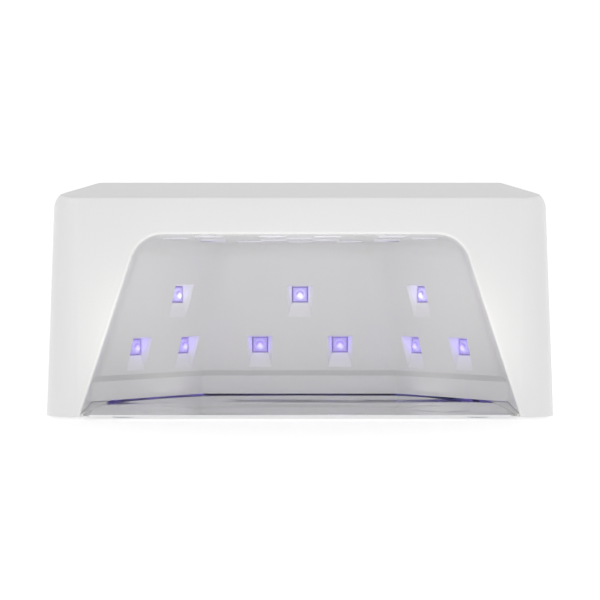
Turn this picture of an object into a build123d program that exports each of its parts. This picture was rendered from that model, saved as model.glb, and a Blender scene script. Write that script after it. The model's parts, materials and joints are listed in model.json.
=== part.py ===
"""UV LED nail lamp: hipped housing, leaning reflector with LED pockets, slide-out base plate.

Frame: millimetres, +Z up, origin at the middle of the footprint on the table.
The hand opening faces -Y. "Depth" is always counted back from the foot of the front face.
"""
import os
from math import atan, cos, hypot, radians, tan

from build123d import *

# ---- housing -------------------------------------------------------------------------
width = 230.0             # footprint across the front
depth = 190.0             # footprint from front to back
foot_gap = 1.0            # air under the rim, held by the rubber feet
housing_wall = 2.5
side_draft = 2.0          # degrees that every outer wall leans in
corner_radius = 16.0      # upright corners, at the rim
eave_height = 98.0        # from the rim to where the roof starts to slope
roof_rise = 8.1           # height of the roof's slope
roof_run = 19.5           # how far the slope reaches in from each wall
eave_radius = 10.0        # rounding along the two side eaves
eave_edge_radius = 1.0    # crisp rounding along the front and rear eaves

# ---- hand opening in the front wall --------------------------------------------------
opening_half_width = 98.2  # at the rim
opening_height = 81.4
wall_lean = 17.9           # degrees that the opening's sides and the reflector's walls lean in
opening_corner_radius = 15.0
opening_lip_radius = 1.2
opening_cut = 12.0         # how far back the opening's outline is cut

# ---- reflector -----------------------------------------------------------------------
reflector_wall = 2.0
reflector_lift = 1.7       # rim to the lower edge of the skirt
skirt_top = 14.4           # rim to the top of the upright skirt
skirt_step = 3.0           # the leaning walls start this far inside the skirt
skirt_slope = 3.0          # height of the slope that joins the skirt to the walls
ceiling_step = 0.2         # ceiling above the top of the opening
ceiling_radius = 12.0
wall_corner_radius = 13.0
skirt_corner_radius = 3.0
mouth_step = 0.8           # skirt inside the foot of the opening, at the front face
side_corner = (103.2, 74.0)  # half width and depth where the side wall turns
rear_corner = (52.5, 137.0)  # half width and depth where the rear wall starts
flange_width = 1.2
flange_thickness = 1.5
post_radius = 2.8          # posts that press on the reflector from the roof
post_places = ((62.0, 14.0), (36.0, 100.4))

# ---- LED pockets ---------------------------------------------------------------------
led_size = 7.8
led_height = 2.2
lens_radius = 2.9
lens_height = 2.0
lens_collar = 0.5
lens_sides = 12
window_clearance = 0.4     # around each LED in its window
pocket_width = 13.4        # mouth of a wall pocket, at its roof
pocket_foot_width = 12.6
pocket_height = 16.8
pocket_headroom = 1.0      # pocket roof above the LED
pocket_wall = 2.4          # behind the LED, where the board lies
upper_row = 55.0           # rim to the middle of the LEDs
lower_row = 28.2
rear_upper_x = (0.0,)
rear_lower_x = (-21.4, 21.4)
side_upper_x = (63.3,)
side_lower_x = (61.6, 83.6)

ceiling_pocket = (13.0, 15.0)  # across and front to back
ceiling_pocket_depth = 5.0
ceiling_pocket_taper = 10.0
front_row_depth = 30.0
middle_row_depth = 50.0
third_row_depth = 70.0
rear_row_depth = 88.0
column_x = (-43.0, -13.0, 13.0, 43.0)
middle_row_x = (-60.0, 0.0, 60.0)
rear_row_x = (-44.0, -25.0, 0.0, 25.0, 44.0)

slot_count = 15            # air slots behind the lintel
slot_pitch = 6.5
slot_size = (3.0, 9.0)
slot_depth_from_front = 12.0
sensor_places = ((28.0, 30.0),)
sensor_radius = 2.5
sensor_clearance = 0.1
sensor_recess = 0.5        # face of the sensor above the ceiling

# ---- boards --------------------------------------------------------------------------
board_thickness = 1.6
board_margin = 1.6
board_step = 0.6           # board's lower edge above the foot of the pocket
ceiling_board_size = (134.0, 76.0)
ceiling_board_depth = 59.0
heat_sink_size = (96.0, 28.0)
heat_sink_depth = 83.0
heat_sink_base = 2.0
fin_height = 5.0
fin_thickness = 1.2
fin_pitch = 6.0

# ---- controls on the roof ------------------------------------------------------------
display_window_size = (46.0, 16.0)
display_window_thickness = 1.6
display_window_depth = 36.0
display_ledge = 2.0
display_corner_radius = 2.0
display_module_size = (30.0, 11.0)
display_air = 0.4
digit_count = 3
digit_size = (4.6, 7.6)
digit_pitch = 8.4
segment_width = 0.9
segment_thickness = 0.15
button_radius = 5.5
button_gap = 0.3
button_flange = 1.6
button_flange_thickness = 1.2
button_proud = 0.6
button_dish = 0.3
button_travel = 0.6
button_flange_air = 0.1    # between the flange and the roof
button_edge = 0.4
button_pitch = 18.0
button_row_depth = 56.0
button_names = ("button_10s", "button_30s", "button_60s", "button_99s")
switch_size = 6.0
switch_height = 3.5
plunger_radius = 1.6
plunger_bore_clearance = 0.1
plunger_stand = 1.2
plunger_length = 2.7
board_screw_radius = 1.1
board_screw_head_radius = 2.0
board_screw_head_height = 1.4
board_screw_bite = 4.5
board_post_radius = 2.6
board_post_inset = 4.0
control_board_size = (84.0, 42.0)
control_board_depth = 46.0
fit_clearance = 0.2

# ---- base frame, plate, feet ---------------------------------------------------------
frame_thickness = 1.4
support_depths = (30.0, 50.0)  # ribs on the base frame that carry the reflector's flange
intake_slots = 9
intake_pitch = 5.2
intake_length = 16.0
intake_width = 2.4
intake_inset = 22.0        # from the foot of the rear wall
frame_gap = 0.3            # between the base frame and the housing wall
plate_half_width = 96.4
plate_gap = 0.4            # plate edge to base frame
plate_thickness = 0.8
plate_lift = 0.2           # underside of the plate above the rim
plate_front_depth = 0.6
plate_rear_depth = 151.5
plate_corner_radius = 6.0
dish_drop = 0.45
dish_flank = 9.0
finger_dish = (0.0, 105.0, 37.0, 26.0)   # x, depth, half width, half length
thumb_dish = (66.0, 40.0, 16.0, 24.0)
pad_radius = 5.0
pad_thickness = 1.0
pad_places = ((80.0, 12.0), (80.0, 140.0))
magnet_radius = 4.0
magnet_thickness = 3.0
magnet_x = (-46.0, 0.0, 46.0)
magnet_depth = 147.2
magnet_air = 0.15
magnet_bar_wall = 1.2
magnet_bar_roof = 1.4
magnet_bar_behind = 4.0    # the bar grips this much of the frame behind the plate
support_size = (1.0, 8.0)
foot_radius = 5.0
foot_height = 1.8
foot_side_inset = 11.0     # feet and screws keep their distance from the walls
foot_depths = (40.0, 128.0)
rear_foot_x = 80.0
rear_foot_inset = 14.0
front_screw_inset = 8.0
front_screw_depth = 21.0
side_screw_inset = 11.0
side_screw_depth = 95.0
rear_screw_inset = 18.0
screw_head_radius = 2.6
screw_head_height = 1.8
screw_head_clearance = 0.2
screw_head_sunk = 0.4
screw_cross = (3.0, 0.7)   # length and width of the slots in a screw head
screw_cross_depth = 0.8
screw_shank_radius = 1.45
screw_length = 12.0
boss_radius = 3.6
boss_height = 22.0
boss_rib = 2.0
screw_cup_height = 4.4
screw_cup_radius = 4.0

# ---- rear: fan, driver board, DC inlet -----------------------------------------------
fan_size = 50.0
fan_thickness = 12.0
fan_x = -38.0
fan_height = 46.0          # rim to the fan's axis
fan_rear_gap = 9.0         # back of the fan to the foot of the rear wall
fan_bore_radius = 23.6
fan_hub_radius = 10.0
fan_hole_pitch = 40.0
fan_hole_radius = 2.1
fan_screw_radius = 1.3
fan_screw_bite = 3.0
fan_boss_radius = 3.4
fan_corner_radius = 3.0
fan_cup_wall = 1.6
fan_disc_thickness = 2.0
fan_bearing_radius = 3.2
fan_blades = 7
blade_tip_gap = 0.8
blade_thickness = 0.9
blade_sections = ((9.2, 42.0, 10.0), (16.0, 34.0, 12.0), (23.5, 26.0, 13.5))  # radius, pitch, chord
fan_shaft_radius = 1.0
fan_shaft_clearance = 0.05
fan_spoke_width = 2.4
fan_spokes = 4
fan_cup_radius = 0.8       # rounding of the rotor's cup
fan_air = 0.6              # rotor to the disc behind it
fan_front_air = 0.4        # rotor behind the frame's front face
fan_screw_head = (2.6, 1.8)
grille_slots = 9
grille_slot_width = 2.6
grille_pitch = 4.9

driver_board_size = (92.0, 32.0)
driver_board_x = 50.0
driver_board_gap = 6.0     # board's rear edge to the foot of the rear wall
driver_board_height = 11.0
capacitor = (4.0, 12.0)    # radius and height
choke = (7.0, 3.0, 6.0)    # outer radius, bore radius and height
transistor = (10.0, 4.4, 9.0)
transistor_tab = (1.2, 16.0)   # thickness and height of the metal tab behind it
led_plug = (9.0, 5.0, 6.0)
part_pitch = (11.0, 13.0)  # capacitors, then transistors and plugs
jack_x = 62.0
jack_body = (9.0, 12.0, 11.0)
jack_nose_radius = 4.2
jack_bore_radius = 3.2
jack_bore_depth = 9.5
jack_pin_radius = 1.0
jack_pin_length = 8.5
jack_hole_clearance = 0.2

# ---- values that follow --------------------------------------------------------------
front_y = -depth / 2
rear_y = depth / 2
rim_z = foot_gap
eave_z = rim_z + eave_height
roof_z = eave_z + roof_rise
roof_under_z = roof_z - housing_wall
slope = atan(roof_rise / roof_run)
lean = tan(radians(wall_lean))
draft = tan(radians(side_draft))
skirt_z = rim_z + reflector_lift
shelf_z = rim_z + skirt_top
ceiling_z = rim_z + opening_height + ceiling_step
led_window = led_size + 2 * window_clearance
pocket_top = led_size / 2 + pocket_headroom   # roof and foot of a wall pocket, from the LED's middle
pocket_foot = pocket_top - pocket_height
front_half_width = opening_half_width - mouth_step
fan_rear_depth = depth - fan_rear_gap
driver_board_depth = depth - driver_board_gap - driver_board_size[1] / 2
foot_places = (
    (width / 2 - foot_side_inset, foot_depths[0]),
    (width / 2 - foot_side_inset, foot_depths[1]),
    (rear_foot_x, depth - rear_foot_inset),
)
screw_places = (
    (width / 2 - front_screw_inset, front_screw_depth),
    (width / 2 - side_screw_inset, side_screw_depth),
    (width / 2 - side_screw_inset, depth - rear_screw_inset),
)
plate_z = rim_z + plate_lift
plate_top_z = plate_z + plate_thickness
frame_top_z = rim_z + frame_thickness
up = Vector(0, 0, 1)


def y_at(distance_back):
    """Row Y of a depth counted back from the foot of the front face."""
    return front_y + distance_back


def slab(x_size, y_size, z_low, z_high, x=0.0, y=0.0):
    """Upright box between two heights."""
    return Pos(x, y, (z_low + z_high) / 2) * Box(x_size, y_size, z_high - z_low)


def rounded_slab(x_size, y_size, radius, z_low, z_high, x=0.0, y=0.0):
    """Upright box with rounded corners in plan."""
    return extrude(Pos(x, y, z_low) * RectangleRounded(x_size, y_size, radius), z_high - z_low)


def rod(radius, z_low, z_high, x=0.0, y=0.0):
    """Upright cylinder between two heights."""
    return Pos(x, y, (z_low + z_high) / 2) * Cylinder(radius, z_high - z_low)


def back_rod(radius, y_low, y_high, x, z):
    """Cylinder that lies along Y."""
    return Pos(x, (y_low + y_high) / 2, z) * Rot(90, 0, 0) * Cylinder(radius, y_high - y_low)


def both_sides(places):
    """Mirror a list of (x, depth) places across the middle, keeping those on it once."""
    mirrored = [(-x, back) for x, back in places if x]
    return list(places) + mirrored


# ---- housing -------------------------------------------------------------------------
def roof_profile(half_size, inset, radius):
    """Cross-section of the hipped block: leaning walls, sloping roof, flat top."""
    wall_top = half_size - eave_height * draft - inset
    eave = eave_z + inset * tan(slope) - inset / cos(slope)
    top = roof_z - inset
    flat = wall_top - (top - eave) / tan(slope)
    foot = half_size - inset
    below = 2.0
    points = [
        (-foot - below * draft, rim_z - below),
        (-wall_top - (eave_z - eave) * draft, eave),
        (-flat, top),
        (flat, top),
        (wall_top + (eave_z - eave) * draft, eave),
        (foot + below * draft, rim_z - below),
    ]
    face = make_face(Polyline(*points, close=True))
    if radius:
        eaves = [v for v in face.vertices() if abs(v.Y - eave) < 0.01]
        face = fillet(eaves, radius)
    return face


def hipped_block(inset):
    """The housing's outer form, or the same form drawn in by a wall."""
    plan = RectangleRounded(width - 2 * inset, depth - 2 * inset, corner_radius - inset)
    prism = extrude(Pos(0, 0, rim_z) * plan, amount=roof_z - rim_z, taper=side_draft)
    across = Rot(90, 0, 0) * extrude(roof_profile(width / 2, inset, eave_radius - inset), depth, both=True)
    along = Rot(0, 0, 90) * Rot(90, 0, 0) * extrude(roof_profile(depth / 2, inset, 0), width, both=True)
    return prism & across & along


def opening_outline(grow=0.0):
    """Trapezoid of the hand opening, drawn in the plane of the front wall."""
    low = 6.0
    half_foot = opening_half_width + grow / cos(radians(wall_lean))
    top = opening_height + grow
    points = [
        (-half_foot - low * lean, -low),
        (-half_foot + top * lean, top),
        (half_foot - top * lean, top),
        (half_foot + low * lean, -low),
    ]
    face = make_face(Polyline(*points, close=True))
    corners = [v for v in face.vertices() if v.Y > 0]
    return fillet(corners, opening_corner_radius + grow)


def front_cutter(face, reach_back):
    """Push an outline of the front wall from before the face to a depth."""
    start = 10.0
    solid = extrude(face, start + reach_back)
    return Pos(0, front_y + reach_back, rim_z) * Rot(90, 0, 0) * solid


def grille_cutters():
    """Rows of slots in the rear wall whose ends follow the fan's bore."""
    cutters = []
    for row in range(grille_slots):
        rise = (row - (grille_slots - 1) / 2) * grille_pitch
        half = (fan_bore_radius ** 2 - rise ** 2) ** 0.5
        slot = extrude(SlotOverall(2 * half, grille_slot_width), fan_rear_gap, both=True)
        cutters.append(Pos(fan_x, rear_y, rim_z + fan_height + rise) * Rot(90, 0, 0) * slot)
    return cutters


def fan_corners():
    """Places of the fan's four fixing holes in X and Z."""
    half = fan_hole_pitch / 2
    return [(fan_x + i * half, rim_z + fan_height + j * half) for i in (-1, 1) for j in (-1, 1)]


def button_places():
    """(name, x, y) of each button."""
    first = -(len(button_names) - 1) / 2
    return [(name, (first + i) * button_pitch, y_at(button_row_depth)) for i, name in enumerate(button_names)]


def control_board_corners():
    """Places of the posts that carry the control board."""
    half_x = control_board_size[0] / 2 - board_post_inset
    half_y = control_board_size[1] / 2 - board_post_inset
    middle = y_at(control_board_depth)
    return [(i * half_x, middle + j * half_y) for i in (-1, 1) for j in (-1, 1)]


flange_top_z = roof_under_z - button_flange_air
plunger_top_z = flange_top_z - button_flange_thickness
control_board_top = plunger_top_z - plunger_stand - switch_height
jack_z = rim_z + driver_board_height + board_thickness + jack_body[2] / 2
screw_top_z = rim_z + screw_head_height + screw_length
jack_y = rear_y - housing_wall - fit_clearance - (jack_z - rim_z) * draft


def make_housing():
    outer = hipped_block(0.0)
    eave_edges = outer.edges().filter_by(Axis.X).filter_by(lambda e: abs(e.center().Z - eave_z) < 0.2)
    outer = fillet(eave_edges, eave_edge_radius)
    shell = outer - hipped_block(housing_wall)
    shell -= front_cutter(opening_outline(), opening_cut)
    lip = [
        e for e in shell.edges()
        if abs(e.center().Y - front_y - (e.center().Z - rim_z) * draft) < 0.05
        and abs(e.center().X) < opening_half_width - 1
        and rim_z + 1 < e.center().Z < rim_z + opening_height + 1
    ]
    shell = fillet(lip, opening_lip_radius)

    window_y = y_at(display_window_depth)
    length, breadth = display_window_size
    recess_z = roof_z - display_window_thickness
    shell -= rounded_slab(length + 2 * fit_clearance, breadth + 2 * fit_clearance,
                          display_corner_radius, recess_z, roof_z + 1, 0, window_y)
    shell -= slab(length - 2 * display_ledge, breadth - 2 * display_ledge,
                  roof_under_z - 1, roof_z, 0, window_y)
    for _, x, y in button_places():
        shell -= rod(button_radius + button_gap, roof_under_z - 1, roof_z + 1, x, y)
    shell -= grille_cutters()
    shell -= back_rod(jack_nose_radius + jack_hole_clearance, rear_y - 10, rear_y + 10, jack_x, jack_z)

    bosses = []
    foot = rim_z + screw_cup_height
    for x, back in both_sides(screw_places):
        side = 1 if x > 0 else -1
        bosses.append(rod(boss_radius, foot, foot + boss_height, x, y_at(back)))
        bosses.append(slab(width / 2, boss_rib, foot, foot + boss_height, x + side * width / 4, y_at(back)))
    for x, y in control_board_corners():
        bosses.append(rod(board_post_radius, control_board_top, roof_z, x, y))
    for x, z in fan_corners():
        bosses.append(back_rod(fan_boss_radius, y_at(fan_rear_depth), rear_y, x, z))
    for x, back in both_sides(post_places):
        bosses.append(rod(post_radius, ceiling_z + reflector_wall, roof_z, x, y_at(back)))
    inside = hipped_block(housing_wall / 2)
    shell += [boss & inside for boss in bosses]

    holes = [rod(screw_shank_radius, foot - 1, screw_top_z, x, y_at(back))
             for x, back in both_sides(screw_places)]
    bite = control_board_top + board_screw_bite
    holes += [rod(board_screw_radius, control_board_top - 1, bite, x, y) for x, y in control_board_corners()]
    face = y_at(fan_rear_depth)
    holes += [back_rod(fan_screw_radius, face - 1, face + fan_screw_bite, x, z) for x, z in fan_corners()]
    return shell - holes


# ---- reflector -----------------------------------------------------------------------
side_point = Vector(front_half_width, front_y)
turn_point = Vector(side_corner[0], y_at(side_corner[1]))
rear_point = Vector(rear_corner[0], y_at(rear_corner[1]))
turn_length = hypot(turn_point.X - rear_point.X, rear_point.Y - turn_point.Y)
turn_normal = Vector((rear_point.Y - turn_point.Y) / turn_length, (turn_point.X - rear_point.X) / turn_length)
side_length = hypot(turn_point.X - side_point.X, turn_point.Y - side_point.Y)
side_normal = Vector((turn_point.Y - side_point.Y) / side_length, (side_point.X - turn_point.X) / side_length)
rear_normal = Vector(0, 1)


def meet(normal_a, reach_a, normal_b, reach_b):
    """Point where two lines cross, each given by its normal and its distance from the origin."""
    det = normal_a.X * normal_b.Y - normal_a.Y * normal_b.X
    x = (reach_a * normal_b.Y - reach_b * normal_a.Y) / det
    y = (normal_a.X * reach_b - normal_b.X * reach_a) / det
    return (x, y)


def cavity_plan(inset, ahead=20.0):
    """Plan of the hand space with every wall moved in by the same amount; it runs out past the front."""
    side = side_normal.dot(side_point) - inset
    turn = turn_normal.dot(turn_point) - inset
    rear = rear_point.Y - inset
    front = Vector(0, -1)
    right = [
        meet(side_normal, side, front, -front_y + ahead),
        meet(side_normal, side, turn_normal, turn),
        meet(turn_normal, turn, rear_normal, rear),
    ]
    left = [(-x, y) for x, y in reversed(right)]
    return make_face(Polyline(*right, *left, close=True))


def inset_at(z):
    """How far the leaning wall stands inside the skirt's plan at a height."""
    return skirt_step + (z - shelf_z) * lean


def upright_edges(solid):
    """Edges that climb the walls behind the front plane."""
    return [e for e in solid.edges()
            if abs((e @ 1).Z - (e @ 0).Z) > 1 and e.center().Y > front_y]


def hand_space(grow):
    """Solid of the space inside the reflector, or its outer skin when grown by the wall."""
    thick = grow / cos(radians(wall_lean))
    top = ceiling_z + grow
    low_plan = Pos(0, 0, shelf_z) * cavity_plan(inset_at(shelf_z) - thick)
    high_plan = Pos(0, 0, top) * cavity_plan(inset_at(top) - thick)
    walls = loft([low_plan, high_plan], ruled=True)
    walls = fillet(upright_edges(walls), wall_corner_radius + grow)
    rim = [e for e in walls.faces().sort_by(Axis.Z)[-1].edges() if e.center().Y > front_y - 5]
    walls = fillet(rim, ceiling_radius + grow)
    rise = grow * tan(radians(22.5))
    foot = shelf_z - skirt_slope + rise
    skirt = extrude(Pos(0, 0, skirt_z) * cavity_plan(-grow), foot - skirt_z)
    slope_foot = Pos(0, 0, foot) * cavity_plan(-grow)
    slope_top = Pos(0, 0, shelf_z + rise) * cavity_plan(inset_at(shelf_z + rise) - thick)
    join = loft([slope_foot, slope_top], ruled=True)
    return walls + [fillet(upright_edges(solid), skirt_corner_radius + grow) for solid in (skirt, join)]


def wall_seat(normal, wall_reach, x, z_led):
    """Frame on a wall LED's seat: X along the wall, Y outwards, Z up, origin behind the LED."""
    reach = wall_reach - inset_at(z_led + pocket_foot)
    y = (reach - normal.X * x) / normal.Y
    return Location(Plane(origin=(x, y, z_led), x_dir=(normal.Y, -normal.X, 0), z_dir=up))


def mirrored_seat(x, z_led):
    """Seat on the left or right turned wall, by the sign of x."""
    side = 1 if x > 0 else -1
    normal = Vector(side * turn_normal.X, turn_normal.Y)
    return wall_seat(normal, turn_normal.dot(turn_point), x, z_led)


def seats_of(side):
    """(seat, row) of each wall LED on the rear, right or left wall."""
    upper_z = rim_z + upper_row
    lower_z = rim_z + lower_row
    if side == "rear":
        upper = [(wall_seat(rear_normal, rear_point.Y, x, upper_z), "upper") for x in rear_upper_x]
        return upper + [(wall_seat(rear_normal, rear_point.Y, x, lower_z), "lower") for x in rear_lower_x]
    sign = 1 if side == "right" else -1
    upper = [(mirrored_seat(sign * x, upper_z), "upper") for x in side_upper_x]
    return upper + [(mirrored_seat(sign * x, lower_z), "lower") for x in side_lower_x]


wall_names = ("rear", "left", "right")
wall_seats = [seat for side in wall_names for seat, _ in seats_of(side)]


def pocket_block(grow, reach_in, reach_out):
    """Straight block with the outline of a wall pocket's mouth, drawn on its seat."""
    half_top = pocket_width / 2 + grow
    half_foot = pocket_foot_width / 2 + grow
    points = [
        (-half_top, pocket_top + grow),
        (half_top, pocket_top + grow),
        (half_foot, pocket_foot - grow),
        (-half_foot, pocket_foot - grow),
    ]
    face = make_face(Polyline(*points, close=True))
    return Pos(0, reach_out, 0) * Rot(90, 0, 0) * extrude(face, reach_in + reach_out)


def wall_pocket(reach_in):
    """The pocket's air: as wide as the LED at the back, splaying to the mouth, with a ramp at the foot."""
    air = pocket_block(0.0, reach_in, 0.0)
    mouth_y = -pocket_height * lean
    for side in (-1, 1):
        mouth_corner = (side * pocket_width / 2, mouth_y, pocket_top)
        back = [
            (side * led_window / 2, 0, pocket_top),
            (side * pocket_width / 2, 0, pocket_top),
            (side * pocket_foot_width / 2, 0, pocket_foot),
            (side * led_window / 2, 0, -led_window / 2),
        ]
        flank = loft([make_face(Polyline(*back, close=True)), Vertex(*mouth_corner)], ruled=True)
        air -= flank
    return air


def ceiling_places():
    """(x, y) of each LED in the ceiling, row by row."""
    rows = [
        (column_x, front_row_depth),
        (middle_row_x, middle_row_depth),
        (column_x, third_row_depth),
        (rear_row_x, rear_row_depth),
    ]
    return [(x, y_at(back)) for xs, back in rows for x in xs]


def ceiling_cone(grow, low, high):
    """Tapered ceiling pocket between two heights."""
    across, along = ceiling_pocket
    face = Pos(0, 0, low) * Rectangle(across + 2 * grow, along + 2 * grow)
    return extrude(face, high - low, taper=ceiling_pocket_taper)


ceiling_seat_z = ceiling_z + ceiling_pocket_depth
ceiling_board_z = ceiling_seat_z + reflector_wall


def make_reflector():
    outer = hand_space(reflector_wall)
    inner = hand_space(0.0)
    depth_in = pocket_height * lean + 1.0
    block = pocket_block(reflector_wall, depth_in, pocket_wall)
    air = wall_pocket(depth_in + 3)
    bumps = [seat * block for seat in wall_seats]
    recess = [seat * air for seat in wall_seats]
    windows = [seat * Box(led_window, 3 * pocket_wall, led_window) for seat in wall_seats]
    for x, y in ceiling_places():
        bumps.append(Pos(x, y, 0) * ceiling_cone(reflector_wall, ceiling_z + 0.5, ceiling_board_z))
        recess.append(Pos(x, y, 0) * ceiling_cone(0.0, ceiling_z - 0.01, ceiling_seat_z))
        windows.append(slab(led_window, led_window, ceiling_seat_z - 1, ceiling_board_z + 1, x, y))
    flange_plan = cavity_plan(-reflector_wall - flange_width)
    flange = extrude(Pos(0, 0, skirt_z) * flange_plan, flange_thickness)
    slots = []
    for i in range(slot_count):
        x = (i - (slot_count - 1) / 2) * slot_pitch
        slots.append(slab(*slot_size, ceiling_z - 1, ceiling_z + 4, x, y_at(slot_depth_from_front)))
    sensors = [rod(sensor_radius + sensor_clearance, ceiling_z - 1, ceiling_z + 4, x, y_at(back))
               for x, back in both_sides(sensor_places)]
    shell = (outer + flange + bumps) - inner - recess - windows - slots - sensors
    return shell & hipped_block(housing_wall + fit_clearance)


def led_package():
    """Square LED body with a chamfered front frame; its back lies on the plane Y = 0."""
    body = Pos(0, -led_height / 2, 0) * Box(led_size, led_height, led_size)
    front = body.faces().sort_by(Axis.Y)[0]
    return chamfer(front.edges(), 0.3)


def lens_dome():
    """Cast lens with a collar and two cut tiers, standing on Y = 0 and pointing to -Y."""
    lower = RegularPolygon(lens_radius, lens_sides)
    middle = Pos(0, 0, lens_collar) * RegularPolygon(lens_radius, lens_sides)
    shoulder_radius = lens_radius * cos(radians(38))
    shoulder = Pos(0, 0, (lens_collar + lens_height) / 2) * RegularPolygon(shoulder_radius, lens_sides)
    crown = Pos(0, 0, lens_height) * RegularPolygon(lens_radius * 0.35, lens_sides)
    dome = loft([middle, shoulder, crown], ruled=True) + extrude(lower, lens_collar)
    return Rot(90, 0, 0) * dome


def on_walls(piece, back):
    """Copies of a piece at every wall LED, standing that far behind the seat."""
    return [seat * Pos(0, back, 0) * piece for seat in wall_seats]


def on_ceiling(piece, z):
    """Copies of a piece at every ceiling LED, turned to point down."""
    return [Pos(x, y, z) * Rot(-90, 0, 0) * piece for x, y in ceiling_places()]


def make_wall_boards(side):
    """One board for the upper row and one for the lower row behind a wall."""
    top = pocket_top + reflector_wall
    foot = pocket_foot + board_step
    boards = []
    for row in ("upper", "lower"):
        seats = [seat for seat, name in seats_of(side) if name == row]
        ends = [seat.position for seat in seats]
        span = (ends[-1] - ends[0]).length
        length = span + pocket_width + 2 * board_margin
        middle = (ends[0] + ends[-1]) / 2
        frame = Pos(middle) * Location((0, 0, 0), seats[0].orientation)
        board = Box(length, board_thickness, top - foot)
        boards.append(frame * Pos(0, pocket_wall + board_thickness / 2, (top + foot) / 2) * board)
    return boards


def make_heat_sink():
    low = ceiling_board_z + board_thickness
    length, breadth = heat_sink_size
    y = y_at(heat_sink_depth)
    sink = slab(length, breadth, low, low + heat_sink_base, 0, y)
    count = int((length - fin_thickness) / fin_pitch) + 1
    first = -(count - 1) / 2
    fins = [slab(fin_thickness, breadth, low + heat_sink_base, low + heat_sink_base + fin_height,
                 (first + i) * fin_pitch, y) for i in range(count)]
    return sink + fins


# ---- controls ------------------------------------------------------------------------
def make_button(x, y):
    """Round cap with a dished top and a flange that keeps it in the roof."""
    cap = rod(button_radius, flange_top_z, roof_z + button_proud, x, y)
    cap = chamfer(cap.edges().sort_by(Axis.Z)[-1], button_edge)
    dish = Pos(x, y, roof_z + button_proud) * Cone(0.5, button_radius - 1.0, 2 * button_dish)
    flange = rod(button_radius + button_flange, plunger_top_z, flange_top_z, x, y)
    return cap - dish + flange


def make_plunger(x, y):
    return rod(plunger_radius, plunger_top_z - plunger_length, plunger_top_z, x, y)


def make_switches():
    switches = []
    for _, x, y in button_places():
        body = slab(switch_size, switch_size, control_board_top, control_board_top + switch_height, x, y)
        bore_foot = plunger_top_z - plunger_length - button_travel - 0.2
        body -= rod(plunger_radius + plunger_bore_clearance, bore_foot, plunger_top_z, x, y)
        switches.append(body)
    return switches


def make_segments():
    """Seven bars for each digit of the display."""
    z_low = roof_z - display_window_thickness - display_air
    wide, tall = digit_size
    bars = []
    for i in range(digit_count):
        x = (i - (digit_count - 1) / 2) * digit_pitch
        y = y_at(display_window_depth)
        for level in (-1, 0, 1):
            bars.append((wide - 2 * segment_width, segment_width, x, y + level * (tall - segment_width) / 2))
        for side in (-1, 1):
            for half in (-1, 1):
                bars.append((segment_width, (tall - 3 * segment_width) / 2,
                             x + side * (wide - segment_width) / 2, y + half * tall / 4))
    return [slab(w, t, z_low - segment_thickness, z_low, x, y) for w, t, x, y in bars]


def make_control_board():
    board = slab(*control_board_size, control_board_top - board_thickness, control_board_top,
                 0, y_at(control_board_depth))
    holes = [rod(board_screw_radius + 0.2, control_board_top - 5, control_board_top + 1, x, y)
             for x, y in control_board_corners()]
    return board - holes


def make_board_screws():
    low = control_board_top - board_thickness
    return [rod(board_screw_head_radius, low - board_screw_head_height, low, x, y)
            + rod(board_screw_radius, low, control_board_top + board_screw_bite, x, y)
            for x, y in control_board_corners()]


# ---- base ----------------------------------------------------------------------------
def plate_slot(grow, z_low, z_high):
    """Outline of the plate, grown, running out at the front."""
    length = plate_rear_depth + grow - plate_front_depth + 40
    y = y_at(plate_rear_depth + grow - length / 2)
    return rounded_slab(2 * (plate_half_width + grow), length, plate_corner_radius + grow, z_low, z_high, 0, y)


def driver_board_corners():
    half_x = driver_board_size[0] / 2 - board_post_inset
    half_y = driver_board_size[1] / 2 - board_post_inset
    middle = y_at(driver_board_depth)
    return [(driver_board_x + i * half_x, middle + j * half_y) for i in (-1, 1) for j in (-1, 1)]


magnet_z = plate_top_z + magnet_air
driver_board_z = rim_z + driver_board_height


def flange_supports():
    """Short ribs under the middle of the reflector's flange, along both side walls."""
    ribs = []
    for y in (y_at(back) for back in support_depths):
        middle = side_normal.dot(side_point) + reflector_wall + flange_width / 2
        x = (middle - side_normal.Y * y) / side_normal.X
        ribs += [slab(*support_size, frame_top_z, skirt_z, side * x, y) for side in (-1, 1)]
    return ribs


def make_base_frame():
    inset = housing_wall + frame_gap
    radius = corner_radius - inset
    frame = rounded_slab(width - 2 * inset, depth - 2 * inset, radius, rim_z, frame_top_z)
    frame -= plate_slot(plate_gap, rim_z - 1, frame_top_z + 1)
    for x, back in both_sides(screw_places):
        frame += rod(screw_cup_radius, rim_z, rim_z + screw_cup_height, x, y_at(back))
    bar_front = y_at(magnet_depth) - magnet_radius - magnet_bar_wall
    bar_rear = y_at(plate_rear_depth) + plate_gap + magnet_bar_behind
    bar_half = magnet_x[-1] + magnet_radius + 2 * magnet_bar_wall
    frame += slab(2 * bar_half, bar_rear - bar_front, magnet_z, magnet_z + magnet_thickness + magnet_bar_roof,
                  0, (bar_front + bar_rear) / 2)
    for x, y in driver_board_corners():
        frame += rod(board_post_radius, rim_z, driver_board_z, x, y)
    frame += flange_supports()
    cuts = [rod(magnet_radius, magnet_z - 1, magnet_z + magnet_thickness, x, y_at(magnet_depth))
            for x in magnet_x]
    for x, back in both_sides(screw_places):
        head = screw_head_radius + screw_head_clearance
        cuts.append(rod(head, rim_z - 1, rim_z + screw_head_height + screw_head_sunk, x, y_at(back)))
        shank = screw_shank_radius + screw_head_clearance
        cuts.append(rod(shank, rim_z, rim_z + screw_cup_height + 1, x, y_at(back)))
    for x, back in both_sides(foot_places):
        cuts.append(rod(foot_radius, rim_z - 1, foot_height, x, y_at(back)))
    for i in range(intake_slots):
        x = fan_x + (i - (intake_slots - 1) / 2) * intake_pitch
        cuts.append(slab(intake_width, intake_length, rim_z - 1, frame_top_z + 1, x, rear_y - intake_inset))
    return frame - cuts


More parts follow.
